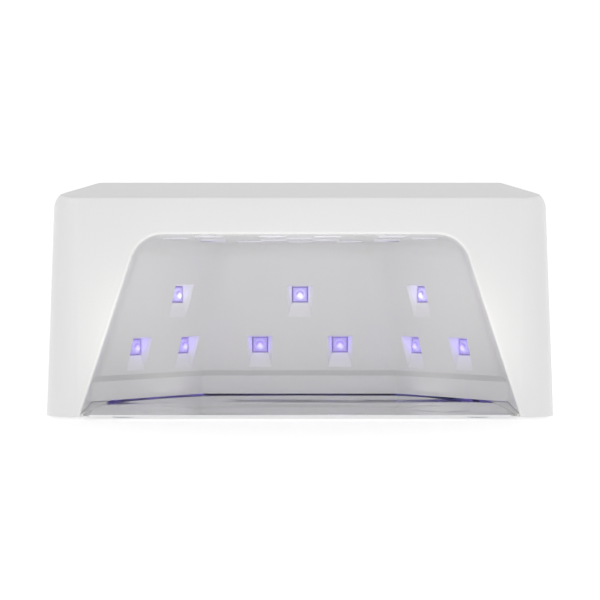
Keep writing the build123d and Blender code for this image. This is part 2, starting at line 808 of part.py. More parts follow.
def make_base_plate():
    length = plate_rear_depth - plate_front_depth
    y = y_at(plate_front_depth + length / 2)
    plate = rounded_slab(2 * plate_half_width, length, plate_corner_radius, plate_z, plate_top_z, 0, y)
    x_thumb, back, half_wide, half_long = thumb_dish
    for x, back, a, b in (finger_dish, thumb_dish, (-x_thumb, back, half_wide, half_long)):
        plate += dish(x, y_at(back), a, b, plate_z)
        plate -= dish(x, y_at(back), a, b, plate_top_z)
    return plate


def dish(x, y, half_wide, half_long, top):
    """Shallow pressed hollow with sloping flanks and a flat floor."""
    rim = Pos(x, y, top) * Ellipse(half_wide, half_long)
    floor = Pos(x, y, top - dish_drop) * Ellipse(half_wide - dish_flank, half_long - dish_flank)
    return loft([rim, floor], ruled=True)


def make_base_screws():
    screws = []
    low = rim_z + screw_head_sunk
    long, wide = screw_cross
    for x, back in both_sides(screw_places):
        y = y_at(back)
        head = rod(screw_head_radius, low, low + screw_head_height, x, y)
        head -= slab(long, wide, low - 1, low + screw_cross_depth, x, y)
        head -= slab(wide, long, low - 1, low + screw_cross_depth, x, y)
        screws.append(head + rod(screw_shank_radius, low + screw_head_height, screw_top_z, x, y))
    return screws


# ---- fan, driver board and DC inlet --------------------------------------------------
def place_fan(solid):
    """Stand a fan piece, drawn with its axis along Z and its intake up, in the housing."""
    return Pos(fan_x, y_at(fan_rear_depth) - fan_thickness / 2, rim_z + fan_height) * Rot(90, 0, 0) * solid


def make_fan_frame():
    half = fan_thickness / 2
    frame = rounded_slab(fan_size, fan_size, fan_corner_radius, -half, half) - rod(fan_bore_radius, -half, half)
    frame += rod(fan_hub_radius, -half, -half + fan_disc_thickness)
    spoke = slab(fan_bore_radius - fan_hub_radius + 2, fan_spoke_width, -half, -half + fan_disc_thickness,
                 (fan_bore_radius + fan_hub_radius) / 2, 0)
    turn = 360 / fan_spokes
    frame += [Rot(0, 0, turn * (i + 0.5)) * spoke for i in range(fan_spokes)]
    frame += rod(fan_bearing_radius, -half, half - fan_cup_wall - 2 * fan_front_air)
    frame -= rod(fan_shaft_radius + fan_shaft_clearance, -half + 0.8, half)
    hole = fan_hole_pitch / 2
    frame -= [rod(fan_hole_radius, -half - 1, half + 1, i * hole, j * hole) for i in (-1, 1) for j in (-1, 1)]
    return place_fan(frame)


def make_fan_rotor():
    half = fan_thickness / 2
    front = half - fan_front_air
    rear = -half + fan_disc_thickness + fan_air
    cup = rod(fan_hub_radius, rear, front) - rod(fan_hub_radius - fan_cup_wall, rear - 1, front - fan_cup_wall)
    cup = fillet(cup.edges().group_by(Axis.Z)[-1], fan_cup_radius)
    cup += rod(fan_shaft_radius, -half + 1.0, front - fan_cup_wall)
    middle = (front + rear) / 2
    tip = fan_bore_radius - blade_tip_gap
    sections = []
    for reach, pitch, chord in blade_sections:
        turned = Rot(pitch, 0, 0) * Rot(0, 90, 0) * Rectangle(blade_thickness, chord)
        sections.append(Pos(reach, 0, middle) * turned)
    blade = loft(sections, ruled=True)
    blade &= rod(tip, rear, front)
    return place_fan(cup + [Rot(0, 0, 360 / fan_blades * i) * blade for i in range(fan_blades)])


def make_fan_screws():
    front = y_at(fan_rear_depth) - fan_thickness
    rear = y_at(fan_rear_depth) + fan_screw_bite
    radius, height = fan_screw_head
    return [back_rod(radius, front - height, front, x, z) + back_rod(fan_screw_radius, front, rear, x, z)
            for x, z in fan_corners()]


def make_driver_board():
    return slab(*driver_board_size, driver_board_z, driver_board_z + board_thickness,
                driver_board_x, y_at(driver_board_depth))


def make_driver_parts():
    """Capacitors, choke, power transistors on their tabs, and the plugs for the LED boards."""
    top = driver_board_z + board_thickness
    left = driver_board_x - driver_board_size[0] / 2
    front = y_at(driver_board_depth) - driver_board_size[1] / 2
    near, far = front + 9, front + 25
    can_radius, can_height = capacitor
    parts = [rod(can_radius, top, top + can_height, left + 14 + part_pitch[0] * i, near) for i in range(3)]
    ring, bore, tall = choke
    x = left + 48
    parts.append(rod(ring, top, top + tall, x, near + 1) - rod(bore, top - 1, top + tall + 1, x, near + 1))
    wide, thick, height = transistor
    tab, tab_height = transistor_tab
    for i in range(2):
        x = left + 64 + part_pitch[1] * i
        parts.append(slab(wide, thick, top, top + height, x, near))
        parts.append(slab(wide, tab, top, top + tab_height, x, near + (thick + tab) / 2))
    wide, thick, height = led_plug
    parts += [slab(wide, thick, top, top + height, left + 12 + part_pitch[1] * i, far) for i in range(3)]
    return parts


def make_jack():
    wide, long, tall = jack_body
    front = jack_y - long
    body = Pos(jack_x, front + long / 2, jack_z) * Box(wide, long, tall)
    nose_end = jack_y + housing_wall
    body += back_rod(jack_nose_radius, jack_y, nose_end, jack_x, jack_z)
    return body - back_rod(jack_bore_radius, nose_end - jack_bore_depth, nose_end + 1, jack_x, jack_z)


def make_jack_pin():
    floor = jack_y + housing_wall - jack_bore_depth
    return back_rod(jack_pin_radius, floor, floor + jack_pin_length, jack_x, jack_z)


# ---- write every sub-part ------------------------------------------------------------
def group(solids):
    """Several separate solids in one node."""
    return Compound(children=list(solids))


def build_parts():
    window_y = y_at(display_window_depth)
    length, breadth = display_window_size
    window_z = roof_z - display_window_thickness
    module_top = window_z - display_air - segment_thickness
    parts = {
        "housing": make_housing(),
        "reflector": make_reflector(),
        "base_frame": make_base_frame(),
        "base_plate": make_base_plate(),
        "plate_pads": group(rod(pad_radius, plate_z - pad_thickness, plate_z, x, y_at(back))
                            for x, back in both_sides(pad_places)),
        "plate_magnets": group(rod(magnet_radius, magnet_z, magnet_z + magnet_thickness, x, y_at(magnet_depth))
                               for x in magnet_x),
        "rubber_feet": group(rod(foot_radius, 0, foot_height, x, y_at(back))
                             for x, back in both_sides(foot_places)),
        "base_screws": group(make_base_screws()),
        "wall_leds": group(on_walls(led_package(), pocket_wall)),
        "wall_lenses": group(on_walls(lens_dome(), pocket_wall - led_height)),
        "ceiling_leds": group(on_ceiling(Rot(180, 0, 0) * led_package(), ceiling_board_z)),
        "ceiling_lenses": group(on_ceiling(Rot(180, 0, 0) * lens_dome(), ceiling_board_z - led_height)),
        "ceiling_board": slab(*ceiling_board_size, ceiling_board_z, ceiling_board_z + board_thickness,
                              0, y_at(ceiling_board_depth)),
        "heat_sink": make_heat_sink(),
        "hand_sensors": group(rod(sensor_radius, ceiling_z + sensor_recess, ceiling_board_z, x, y_at(back))
                              for x, back in both_sides(sensor_places)),
        "display_window": rounded_slab(length, breadth, display_corner_radius, window_z, roof_z, 0, window_y),
        "display_module": slab(*display_module_size, control_board_top, module_top, 0, window_y),
        "display_segments": group(make_segments()),
        "control_board": make_control_board(),
        "board_screws": group(make_board_screws()),
        "button_switches": group(make_switches()),
        "fan_frame": make_fan_frame(),
        "fan_rotor": make_fan_rotor(),
        "fan_screws": group(make_fan_screws()),
        "driver_board": make_driver_board(),
        "driver_parts": group(make_driver_parts()),
        "dc_jack": make_jack(),
        "jack_pin": make_jack_pin(),
    }
    for side in wall_names:
        parts[side + "_led_boards"] = group(make_wall_boards(side))
    for name, x, y in button_places():
        parts[name] = make_button(x, y)
        parts[name.replace("button", "plunger")] = make_plunger(x, y)
    return parts


if __name__ == "__main__":
    os.makedirs("parts", exist_ok=True)
    for node, shape in build_parts().items():
        export_step(shape, "parts/" + node + ".step")
        print(node, len(shape.solids()), round(shape.volume))
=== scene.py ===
# %% [markdown]
# # A nail lamp, from its frame to its finishes
# The lamp arrives as a fixed frame: every shell, board and button already has its place and size.
# This lesson adds what the frame doesn't hold: pressed steel, cast lenses, moulded plastics and
# light. Nothing of the frame is moved. Lengths are in metres, because Blender works in metres.

# %% Load the frame
import json
from math import cos, exp, pi, radians, sin

import bmesh
import bpy
from mathutils import Matrix, Vector


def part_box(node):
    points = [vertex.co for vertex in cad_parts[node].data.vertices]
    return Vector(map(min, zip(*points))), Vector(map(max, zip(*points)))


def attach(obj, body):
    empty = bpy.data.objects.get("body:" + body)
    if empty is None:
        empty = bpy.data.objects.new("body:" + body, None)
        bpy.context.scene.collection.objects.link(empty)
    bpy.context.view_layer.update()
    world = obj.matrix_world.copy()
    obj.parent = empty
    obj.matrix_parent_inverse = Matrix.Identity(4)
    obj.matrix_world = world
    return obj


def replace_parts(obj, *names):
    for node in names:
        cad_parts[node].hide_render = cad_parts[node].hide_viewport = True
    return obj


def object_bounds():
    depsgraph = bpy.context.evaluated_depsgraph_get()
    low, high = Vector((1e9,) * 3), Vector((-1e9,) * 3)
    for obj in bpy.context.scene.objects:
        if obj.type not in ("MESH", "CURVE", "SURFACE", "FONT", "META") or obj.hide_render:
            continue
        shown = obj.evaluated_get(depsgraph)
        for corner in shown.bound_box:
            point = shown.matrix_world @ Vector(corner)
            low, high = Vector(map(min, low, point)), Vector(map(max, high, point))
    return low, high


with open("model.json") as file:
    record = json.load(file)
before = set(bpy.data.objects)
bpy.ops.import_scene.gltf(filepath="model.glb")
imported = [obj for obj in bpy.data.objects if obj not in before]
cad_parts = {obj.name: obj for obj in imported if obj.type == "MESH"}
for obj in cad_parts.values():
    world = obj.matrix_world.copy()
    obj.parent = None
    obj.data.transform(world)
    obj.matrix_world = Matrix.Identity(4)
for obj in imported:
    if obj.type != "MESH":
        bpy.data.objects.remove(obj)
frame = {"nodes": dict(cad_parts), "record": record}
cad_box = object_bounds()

nodes = frame["nodes"]
slot_of = {part["node"]: part["material_slot"] for part in frame["record"]["subparts"]}

# %% [markdown]
# ## A small language for finishes
# A finish is a graph of shader nodes. Wiring it by hand takes many lines, so two small classes
# do it. `Wire` wraps one socket and understands arithmetic: `1 - mask * 0.5` adds two Math
# nodes. `Finish` holds the material and has one method, `add`, for every other kind of node.
# Numbers that are the same all over the surface are set on the shader itself.

# %% A wire that understands arithmetic
class Wire:
    """One output socket. Arithmetic on it adds Math nodes to its finish."""

    def __init__(self, finish, socket):
        self.finish = finish
        self.socket = socket

    def math(self, operation, *values):
        sockets = {i: value for i, value in enumerate(values)}
        return self.finish.add("ShaderNodeMath", {"operation": operation}, sockets)

    def __add__(self, other):
        return self.math("ADD", self, other)

    __radd__ = __add__

    def __sub__(self, other):
        return self.math("SUBTRACT", self, other)

    def __rsub__(self, other):
        return self.math("SUBTRACT", other, self)

    def __mul__(self, other):
        return self.math("MULTIPLY", self, other)

    __rmul__ = __mul__

    def __truediv__(self, other):
        return self.math("DIVIDE", self, other)

    def __pow__(self, other):
        return self.math("POWER", self, other)

    def clamped(self):
        return self.math("MINIMUM", self.math("MAXIMUM", self, 0.0), 1.0)


# %% A finish and its one way of adding nodes
class Finish:
    """A material with a Principled shader and a short way to add nodes to it."""

    def __init__(self, name, **shader_values):
        self.material = bpy.data.materials.new(name)
        self.material.use_nodes = True
        self.tree = self.material.node_tree
        self.shader = self.tree.nodes["Principled BSDF"]
        self.place = None
        for socket, value in shader_values.items():
            self.shader.inputs[socket.replace("_", " ")].default_value = value

    def add(self, kind, settings=None, sockets=None, out=0):
        """Make a node, set its settings, fill its sockets with values or wires, return an output."""
        node = self.tree.nodes.new(kind)
        for name, value in (settings or {}).items():
            if name == "stops":
                self.set_stops(node.color_ramp, value)
            else:
                setattr(node, name, value)
        for key, value in (sockets or {}).items():
            if isinstance(value, Wire):
                self.tree.links.new(value.socket, node.inputs[key])
            else:
                node.inputs[key].default_value = value
        return Wire(self, node.outputs[out])

    @staticmethod
    def set_stops(ramp, stops):
        """Give a colour ramp exactly these (place, colour) stops."""
        while len(ramp.elements) < len(stops):
            ramp.elements.new(1.0)
        for element, (place, colour) in zip(ramp.elements, stops):
            element.position = place
            element.color = (*colour, 1.0)

    def feed(self, **wires):
        """Link wires to the shader's own sockets."""
        for socket, wire in wires.items():
            self.tree.links.new(wire.socket, self.shader.inputs[socket.replace("_", " ")])
        return self

    def where(self):
        """Position on the object, in metres, so that a pattern has a real size."""
        if self.place is None:
            self.place = self.add("ShaderNodeTexCoord", out="Object")
        return self.place

    def noise(self, size, detail=3.0, stretch=(1.0, 1.0, 1.0)):
        """Soft random pattern whose blotches are about `size` metres across."""
        scale = tuple(s / size for s in stretch)
        spot = self.add("ShaderNodeMapping", sockets={"Vector": self.where(), "Scale": scale})
        return self.add("ShaderNodeTexNoise", {}, {"Vector": spot, "Scale": 1.0, "Detail": detail})

    def between(self, mask, low, high):
        """Mix two colours by a mask."""
        settings = {"data_type": "RGBA"}
        return self.add("ShaderNodeMix", settings, {0: mask, 6: (*low, 1.0), 7: (*high, 1.0)}, out=2)

    def relief(self, height, depth, strength=1.0):
        """Bump from a height between 0 and 1 that stands `depth` metres tall."""
        bump = self.add("ShaderNodeBump", {}, {"Strength": strength, "Distance": depth, "Height": height})
        return self.feed(Normal=bump)


finishes = {}
print("finish tools ready")

# %% [markdown]
# ## White housing
# The housing is moulded ABS. Its tool is spark-eroded, which leaves a very fine even grain, and
# the flow of the melt leaves slow, barely visible clouds in tone. A flat colour would look like
# paper, so the grain goes into the bump, and the clouds go into colour and roughness.

# %% Housing finish
def moulded_white(name, tone, warmth, roughness, grain_size, grain_depth):
    """White moulded plastic: slow clouds in tone, fine eroded grain in the bump."""
    finish = Finish(name, IOR=1.5, Specular_IOR_Level=0.42)
    clouds = finish.noise(0.045, detail=2.0)
    grain = finish.noise(grain_size, detail=2.0)
    low = (tone - 0.012, tone - 0.012, tone - 0.012 - warmth)
    high = (tone + 0.012, tone + 0.012, tone + 0.012 - warmth)
    finish.feed(
        Base_Color=finish.between(clouds, low, high),
        Roughness=roughness + (clouds - 0.5) * 0.06 + (grain - 0.5) * 0.08,
    )
    return finish.relief(grain, grain_depth, 0.35)


finishes["housing_white"] = moulded_white("housing_white", 0.86, 0.0, 0.40, 0.0006, 0.00002)
finishes["frame_white"] = moulded_white("frame_white", 0.80, 0.01, 0.55, 0.0009, 0.00004)
finishes["button_white"] = moulded_white("button_white", 0.80, 0.0, 0.30, 0.0004, 0.00001)
print("white mouldings:", len(finishes))

# %% [markdown]
# ## Reflector
# The reflector is moulded in a harder, glossier white, because it has to throw light back at the
# nails. Polished tools leave no grain, only a faint long ripple where the plastic has shrunk.
# Ripple in the bump bends the reflections slightly, which is how an eye tells plastic from paint.

# %% Reflector finish
def reflector_white():
    finish = Finish("reflector_white", IOR=1.49, Specular_IOR_Level=0.4, Coat_Roughness=0.12)
    ripple = finish.noise(0.022, detail=1.0)
    dust = finish.noise(0.0011, detail=2.0)
    finish.feed(
        Base_Color=finish.between(ripple, (0.90, 0.90, 0.90), (0.92, 0.92, 0.92)),
        Roughness=0.34 + (dust - 0.5) * 0.10,
        Coat_Weight=0.15 + (ripple - 0.5) * 0.1,
    )
    return finish.relief(ripple, 0.00012, 0.5)


finishes["reflector_white"] = reflector_white()

# %% [markdown]
# ## Polished plate
# The plate under the hand is stainless steel, pressed and then polished to a mirror. Polishing
# leaves fine lines along one direction, and wiping with solvent leaves a faint haze. Both belong
# in the roughness: a mirror with one even roughness looks like a computer's idea of steel.

# %% Polished steel finish
def polished_steel():
    finish = Finish("polished_steel", Metallic=1.0)
    lines = finish.noise(0.0016, detail=2.0, stretch=(0.05, 1.0, 1.0))
    haze = finish.noise(0.030, detail=3.0)
    buckle = finish.noise(0.040, detail=0.0, stretch=(0.35, 1.0, 1.0))
    finish.feed(
        Base_Color=finish.between(haze, (0.76, 0.76, 0.775), (0.81, 0.81, 0.82)),
        Roughness=(0.05 + haze * 0.05 + (lines - 0.5) * 0.04).clamped(),
    )
    return finish.relief(buckle + lines * 0.002, 0.0024, 1.0)


finishes["polished_steel"] = polished_steel()

# %% [markdown]
# ## Light emitters
# Each emitter is a small ceramic and resin package under a cast lens. Its light is violet with a little blue, and
# the eye sees the middle as white because it is so strong. A mesh attribute, `glow`, says how near a point is to
# the hot middle, and the colour and light follow it. It carries painted light as well: on the package, the chips'
# light painted onto the plastic; on the lens, a painted highlight low down and a painted dark reflection arc above
# it.

# %% Emitter finishes
def lit(name, stops, strength, **shader_values):
    """Surface whose colour and light follow the mesh attribute `glow` through a ramp of stops."""
    finish = Finish(name, Emission_Strength=strength, **shader_values)
    glow = finish.add("ShaderNodeAttribute", {"attribute_name": "glow"}, out="Fac")
    speck = finish.noise(0.0006, detail=1.0)
    level = (glow + (speck - 0.5) * 0.22).clamped()
    tint = finish.add("ShaderNodeValToRGB", {"stops": stops}, {0: level})
    return finish.feed(Base_Color=finish.between(speck, resin_low, resin_high), Emission_Color=tint)


resin_low = (0.16, 0.15, 0.16)
resin_high = (0.24, 0.23, 0.24)
deep_violet = (0.22, 0.14, 0.58)
mid_violet = (0.38, 0.32, 0.78)
pale_lavender = (0.60, 0.57, 0.98)
white_hot = (1.0, 1.0, 1.04)
finishes["led_lens"] = lit(
    "led_lens", [(0.0, deep_violet), (0.35, mid_violet), (0.65, pale_lavender), (1.0, white_hot)], 0.90,
    Roughness=0.08, IOR=1.52, Coat_Weight=0.5, Coat_Roughness=0.04)
# The package plastic glows with painted chip light, violet to lavender.
finishes["led_frame"] = lit(
    "led_frame", [(0.0, deep_violet), (0.45, mid_violet), (1.0, pale_lavender)], 0.80, Roughness=0.30)
print("emitters glow by attribute")

# %% [markdown]
# ## Boards, metal, rubber and dark mouldings
# Nobody looks at these for long, but each has one trait that gives it away: solder mask is
# slightly wavy over its copper, extruded aluminium has lines along its length, rubber is dull
# and dusty, nickel is warm. One short function each is enough.

# %% Board finishes
def solder_mask(name, ground, track):
    """Lacquered board: copper tracks show through the mask as slightly lighter blocks."""
    finish = Finish(name, Roughness=0.28, IOR=1.5)
    cells = finish.add("ShaderNodeTexBrick", {"offset": 0.37, "squash": 1.7}, {
        "Vector": finish.where(), "Scale": 130.0, "Mortar Size": 0.06, "Mortar Smooth": 0.1,
        "Brick Width": 0.9, "Row Height": 0.28}, out="Fac")
    finish.feed(Base_Color=finish.between(cells, ground, track))
    return finish.relief(cells, 0.00003, 0.4)


finishes["board_white"] = solder_mask("board_white", (0.78, 0.78, 0.76), (0.70, 0.70, 0.67))
finishes["board_green"] = solder_mask("board_green", (0.03, 0.20, 0.08), (0.06, 0.32, 0.14))


# %% Metal finishes
def drawn_metal(name, colour, roughness, stretch):
    """Metal with fine lines along the direction it was drawn or turned in."""
    finish = Finish(name, Metallic=1.0)
    lines = finish.noise(0.0008, detail=3.0, stretch=stretch)
    darker = tuple(0.86 * channel for channel in colour)
    finish.feed(
        Base_Color=finish.between(lines, darker, colour),
        Roughness=roughness + (lines - 0.5) * 0.18,
    )
    return finish.relief(lines, 0.00001, 0.4)


finishes["sink_aluminium"] = drawn_metal("sink_aluminium", (0.78, 0.79, 0.80), 0.34, (1.0, 0.04, 1.0))
finishes["screw_steel"] = drawn_metal("screw_steel", (0.62, 0.62, 0.63), 0.32, (1.0, 1.0, 0.2))
finishes["magnet_nickel"] = drawn_metal("magnet_nickel", (0.76, 0.73, 0.68), 0.20, (1.0, 1.0, 0.3))
finishes["pin_nickel"] = drawn_metal("pin_nickel", (0.78, 0.75, 0.68), 0.22, (0.3, 1.0, 0.3))


# %% Rubber and dark mouldings
def dull(name, colour, lighter, roughness, grain_size, grain_depth, **shader_values):
    """Matt surface with a dusting of lighter tone."""
    finish = Finish(name, IOR=1.45, **shader_values)
    dust = finish.noise(grain_size * 8, detail=4.0)
    grain = finish.noise(grain_size, detail=2.0)
    finish.feed(
        Base_Color=finish.between(dust, colour, lighter),
        Roughness=roughness + (grain - 0.5) * 0.12,
    )
    return finish.relief(grain, grain_depth, 0.5)


finishes["foot_rubber"] = dull("foot_rubber", (0.018, 0.018, 0.019), (0.04, 0.04, 0.04), 0.75, 0.0007, 0.00005)
finishes["clear_silicone"] = dull("clear_silicone", (0.62, 0.63, 0.64), (0.74, 0.75, 0.75), 0.42, 0.0008, 0.00002)
finishes["module_black"] = dull("module_black", (0.012, 0.012, 0.013), (0.025, 0.025, 0.027), 0.45, 0.0004, 0.00002)
finishes["plunger_black"] = dull("plunger_black", (0.014, 0.014, 0.015), (0.03, 0.03, 0.03), 0.35, 0.0004, 0.00001)
finishes["fan_black"] = dull("fan_black", (0.012, 0.012, 0.013), (0.03, 0.03, 0.031), 0.38, 0.0006, 0.00002)
finishes["component_dark"] = dull("component_dark", (0.02, 0.022, 0.05), (0.05, 0.05, 0.09), 0.4, 0.0006, 0.00002)
finishes["sensor_dark"] = dull("sensor_dark", (0.015, 0.004, 0.012), (0.03, 0.008, 0.02), 0.12, 0.0008, 0.000005)
finishes["segment_white"] = dull("segment_white", (0.55, 0.56, 0.55), (0.66, 0.66, 0.64), 0.5, 0.0003, 0.00001)

# %% [markdown]
# ## Smoked window
# The window over the display is tinted acrylic. Glass in the strict sense would need the light
# to find its way through and back, which is slow and noisy. A dark, very smooth surface with a
# clear coat and a little transparency gives the same reading: black from afar, digits close up.

# %% Window finish
def smoked_acrylic():
    finish = Finish("smoked_acrylic", IOR=1.49, Coat_Weight=0.5, Alpha=0.72)
    smear = finish.noise(0.012, detail=3.0)
    finish.feed(
        Base_Color=finish.between(smear, (0.010, 0.010, 0.012), (0.018, 0.018, 0.021)),
        Roughness=0.05 + smear * 0.06,
    )
    return finish


finishes["smoked_acrylic"] = smoked_acrylic()

# %% [markdown]
# ## Give every frame piece its finish
# The record says which material slot each piece belongs to. The names here are the same, so one
# loop hands out the finishes, and a missing one would stop the script with its name.

# %% Hand out the finishes
def wear(obj, slot):
    """Put a finish on an object in place of whatever it had."""
    obj.data.materials.clear()
    obj.data.materials.append(finishes[slot].material)


for name, obj in nodes.items():
    wear(obj, slot_of[name])
print("finished", len(nodes), "frame pieces")

# %% [markdown]
# ## Read the emitters' places from the frame
# The frame holds all the wall lenses as one mesh of separate little solids. Walking over linked vertices finds each
# solid. Its middle gives the place. Its flat foot is wider than its crown. The way from the middle of the nearest
# package to the lens's middle gives the direction it faces, and the lens's lowest point along that way gives its
# foot.

# %% Find separate solids in a mesh
def islands(obj):
    """Lists of vertex positions, one list for each separate solid of a mesh."""
    mesh = bmesh.new()
    mesh.from_mesh(obj.data)
    bmesh.ops.remove_doubles(mesh, verts=mesh.verts, dist=1e-6)
    unseen = set(mesh.verts)
    found = []
    while unseen:
        queue = [unseen.pop()]
        spots = []
        while queue:
            vert = queue.pop()
            spots.append(vert.co.copy())
            for edge in vert.link_edges:
                other = edge.other_vert(vert)
                if other in unseen:
                    unseen.remove(other)
                    queue.append(other)
        found.append(spots)
    mesh.free()
    return found


def middle(spots):
    return sum(spots, Vector()) / len(spots)


def lens_seats(lens_node, led_node):
    """(foot of the lens, facing direction) for each emitter of a group."""
    packages = [middle(spots) for spots in islands(nodes[led_node])]
    seats = []
    for spots in islands(nodes[lens_node]):
        centre = middle(spots)
        package = min(packages, key=lambda p: (p - centre).length)
        facing = (centre - package).normalized()
        foot = min(spots, key=lambda s: s.dot(facing)).dot(facing)
        seats.append((centre + facing * (foot - centre.dot(facing)), facing))
    return seats


wall_seats = lens_seats("wall_lenses", "wall_leds")
ceiling_seats = lens_seats("ceiling_lenses", "ceiling_leds")
row_split = 0.5 * (max(foot.z for foot, _ in wall_seats) + min(foot.z for foot, _ in wall_seats))
print("emitters on walls:", len(wall_seats), "in the ceiling:", len(ceiling_seats))

# %% [markdown]
# ## Build one emitter, then repeat it
# The package is a square cup: a dark rim, a chamfer down into the cup and a floor. Its glow is painted light of the
# chips on the plastic, dim on the rim and bright on the chamfer and floor; the two tiny chips are not built, only
# painted as hot spots on the lens. The lens is a dome turned on a lathe. Both are made once as plain lists of
# points in the emitter's own frame and then set down at every seat, which keeps them identical.

# %% Sizes of an emitter
rear_package = min(islands(nodes["wall_leds"]), key=lambda spots: abs(middle(spots).x))
ceiling_lens = islands(nodes["ceiling_lenses"])[0]


def span(spots, axis):
    """Size of a solid along one axis."""
    return max(s[axis] for s in spots) - min(s[axis] for s in spots)


package_half = span(rear_package, 0) / 2
package_depth = span(rear_package, 1)
lens_radius = span(ceiling_lens, 0) / 2
lens_height = span(ceiling_lens, 2)
lens_collar = 0.25 * lens_height
rim_width = 0.00042
cup_drop = 0.00045
lens_rings = 9
lens_sides = 32
print("package %.1f mm, lens radius %.1f mm" % (2000 * package_half, 1000 * lens_radius))


def seat_matrix(foot, facing):
    """Frame whose Z is the facing direction and whose Y is as near to up as it can be."""
    z_axis = facing
    helper = Vector((0, 0, 1)) if abs(facing.z) < 0.7 else Vector((0, 1, 0))
    x_axis = helper.cross(z_axis).normalized()
    y_axis = z_axis.cross(x_axis)
    turn = Matrix((x_axis, y_axis, z_axis)).transposed().to_4x4()
    return Matrix.Translation(foot) @ turn


# %% Package with a cup
def square_ring(mesh, half, height):
    corners = ((-1, -1), (1, -1), (1, 1), (-1, 1))
    return [mesh.verts.new((half * x, half * y, height)) for x, y in corners]


def add_package(mesh, glow, matrix, drive):
    """Square package: outer walls, rim, chamfer and glowing floor; their glow is painted light of the chips on the
    plastic.
    """
    # Third number of each level is its glow: painted chip light on the package plastic.
    levels = (
        (package_half, -package_depth, 0.0),
        (package_half - 0.0001, -0.0001, 0.0),
        (package_half - 0.0002, 0.0, 0.0),
        (package_half - rim_width, 0.0, 0.10),
        (package_half - rim_width - 0.0001, -0.0001, 0.80),
        (package_half - rim_width - cup_drop, -cup_drop, 0.55),
        (lens_radius * 0.6, -cup_drop, 0.85),
    )
    rings = [square_ring(mesh, half, height) for half, height, _ in levels]
    for lower, upper in zip(rings, rings[1:]):
        for i in range(4):
            mesh.faces.new((lower[i], lower[(i + 1) % 4], upper[(i + 1) % 4], upper[i]))
    mesh.faces.new(rings[-1])
    mesh.faces.new(list(reversed(rings[0])))
    for ring, (_, _, level) in zip(rings, levels):
        for vert in ring:
            vert[glow] = level * drive
            vert.co = matrix @ vert.co


# %% Lens turned on a lathe
def lens_glow(x, y):
    """Glow over the face of a lens: a painted highlight of two hot chips low down, and a painted dark reflection
    arc bent over them.
    """
    # Painted highlight: two hot spots low on the lens, where the chips would show.
    painted_chip_highlights = 0.55 * exp(-((x - 0.22) ** 2 + (y + 0.42) ** 2) / 0.10)
    painted_chip_highlights += 0.40 * exp(-((x + 0.30) ** 2 + (y + 0.30) ** 2) / 0.05)
    # Painted reflection: a dark arc over the upper half of the dome.
    painted_reflection_arc = 0.60 * exp(-((x * x + (y + 0.05) ** 2) ** 0.5 - 0.58) ** 2 / 0.025)
    painted_reflection_arc *= max(0.0, min(1.0, 0.5 + 2.0 * y))
    return max(0.0, min(1.0, 0.58 + painted_chip_highlights - painted_reflection_arc))


def add_lens(mesh, glow, matrix, drive):
    """Dome on a short collar, closed at both ends."""
    rings = []
    for step in range(-1, lens_rings + 1):
        angle = max(step, 0) / lens_rings * radians(80)
        radius = lens_radius * cos(angle)
        height = lens_collar + (lens_height - lens_collar) * sin(angle) / sin(radians(80))
        if step < 0:
            height = -cup_drop
        ring = []
        for side in range(lens_sides):
            turn = 2 * pi * side / lens_sides
            vert = mesh.verts.new((radius * cos(turn), radius * sin(turn), height))
            vert[glow] = drive * lens_glow(vert.co.x / lens_radius, vert.co.y / lens_radius)
            ring.append(vert)
        rings.append(ring)
    for lower, upper in zip(rings, rings[1:]):
        for i in range(lens_sides):
            j = (i + 1) % lens_sides
            mesh.faces.new((lower[i], lower[j], upper[j], upper[i]))
    mesh.faces.new(rings[-1])
    mesh.faces.new(list(reversed(rings[0])))
    for ring in rings:
        for vert in ring:
            vert.co = matrix @ vert.co


# %% Set the emitters down at their seats
def repeat(name, build, seats, slot, smooth):
    """One object that holds a copy of a small form at every seat."""
    mesh = bmesh.new()
    glow = mesh.verts.layers.float.new("glow")
    for foot, facing in seats:
        drive = 0.72 if foot.z < row_split else 1.0
        build(mesh, glow, seat_matrix(foot, facing), drive)
    data = bpy.data.meshes.new(name)
    mesh.to_mesh(data)
    mesh.free()
    if smooth:
        data.polygons.foreach_set("use_smooth", [len(p.vertices) == 4 for p in data.polygons])
    obj = bpy.data.objects.new(name, data)
    bpy.context.scene.collection.objects.link(obj)
    wear(obj, slot)
    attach(obj, "lamp")
    print(name, len(data.polygons), "faces")
    return obj


for place, seats in (("wall", wall_seats), ("ceiling", ceiling_seats)):
    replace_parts(repeat(place + "_packages", add_package, seats, "led_frame", False), place + "_leds")
    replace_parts(repeat(place + "_domes", add_lens, seats, "led_lens", True), place + "_lenses")

# %% [markdown]
# ## Light the digits
# Each digit of the display is made of seven bars, and the frame holds all of them as one mesh.
# The bars that spell the time shine through the smoked window, and the others stay as grey
# plastic. Digits don't overlap from left to right, so sorting the bars by place gives the digits.

# %% Lit and unlit bars
unlit_bars = {"6": ("upper right",), "0": ("middle",)}
bars_per_digit = 7


def bar_place(offset, near):
    """Where a bar is in its digit, from its offset to the digit's middle."""
    if abs(offset.x) < near:
        return "middle" if abs(offset.y) < near else ("top" if offset.y > 0 else "bottom")
    return ("upper " if offset.y > 0 else "lower ") + ("right" if offset.x > 0 else "left")


def make_bars(name, solids, finish):
    """One object with a closed prism for each bar."""
    mesh = bmesh.new()
    for spots in solids:
        hull = bmesh.ops.convex_hull(mesh, input=[mesh.verts.new(s) for s in spots])
        inside = [v for v in hull["geom_interior"] + hull["geom_unused"] if isinstance(v, bmesh.types.BMVert)]
        bmesh.ops.delete(mesh, geom=inside, context="VERTS")
    data = bpy.data.meshes.new(name)
    mesh.to_mesh(data)
    mesh.free()
    obj = bpy.data.objects.new(name, data)
    bpy.context.scene.collection.objects.link(obj)
    wear(obj, finish)
    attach(obj, "lamp")
    return obj


